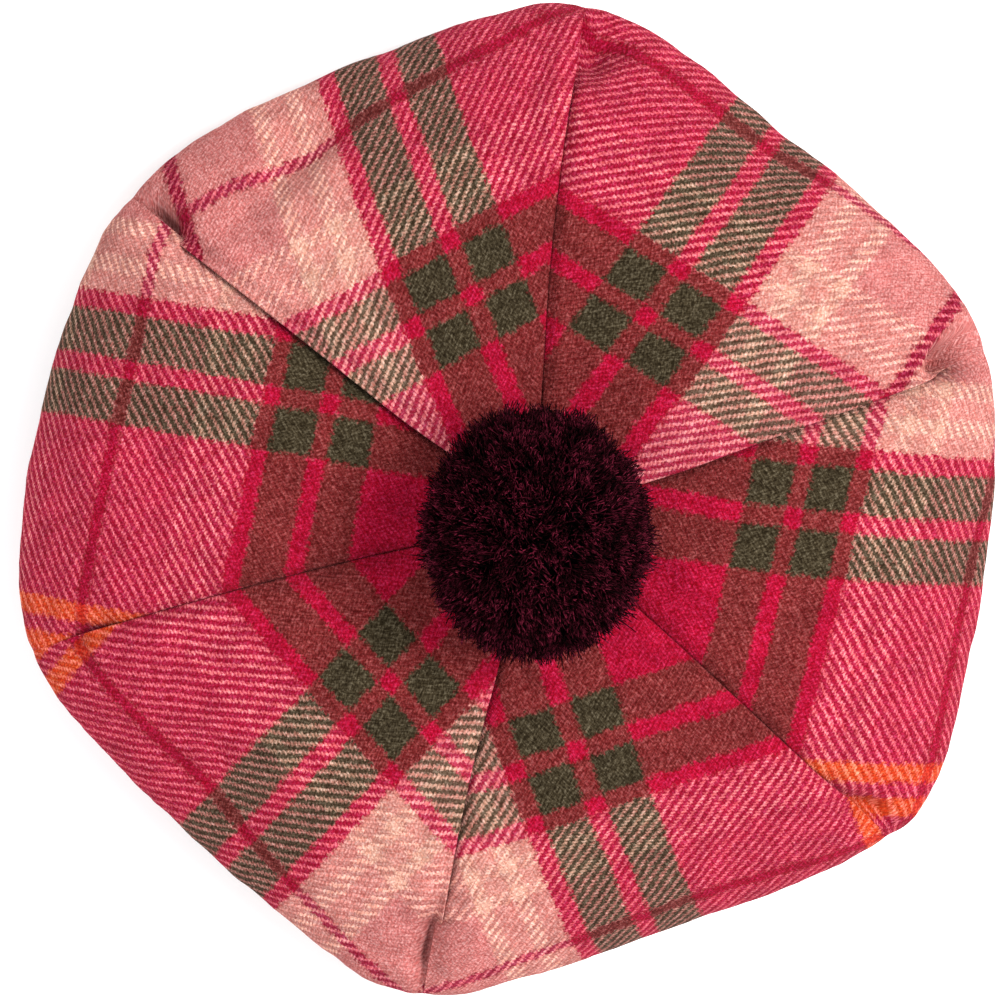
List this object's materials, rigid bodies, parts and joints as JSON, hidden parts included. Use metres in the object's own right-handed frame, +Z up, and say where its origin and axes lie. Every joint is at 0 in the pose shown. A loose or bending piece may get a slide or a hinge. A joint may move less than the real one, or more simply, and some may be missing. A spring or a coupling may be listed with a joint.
{
  "type": "tam o shanter",
  "caption": "Soft tartan wool tam with a wide wedge-panelled crown, a plain headband and a round wool pompom, lying at rest.",
  "frame": {"origin": "middle of the head opening, on the surface the headband rests on, under the middle of the crown's outline", "axes": "+Z up through the crown, +X to the wearer's right and +Y to the back as the hat lies"},
  "size_m": [0.2751, 0.2786, 0.1025],
  "materials": {
    "crown_cloth": "brushed wool twill woven in a red, olive green and pale pink tartan with a little orange",
    "band_cloth": "brushed wool twill in the same tartan",
    "pompom_yarn": "short cut wool yarn, nearly black wine red"
  },
  "bodies": {
    "root": {"crown_panel_1": "crown_cloth", "crown_panel_2": "crown_cloth", "crown_panel_3": "crown_cloth", "crown_panel_4": "crown_cloth", "crown_panel_5": "crown_cloth", "crown_panel_6": "crown_cloth", "headband": "band_cloth", "pompom": "pompom_yarn"}
  },
  "joints": []
}
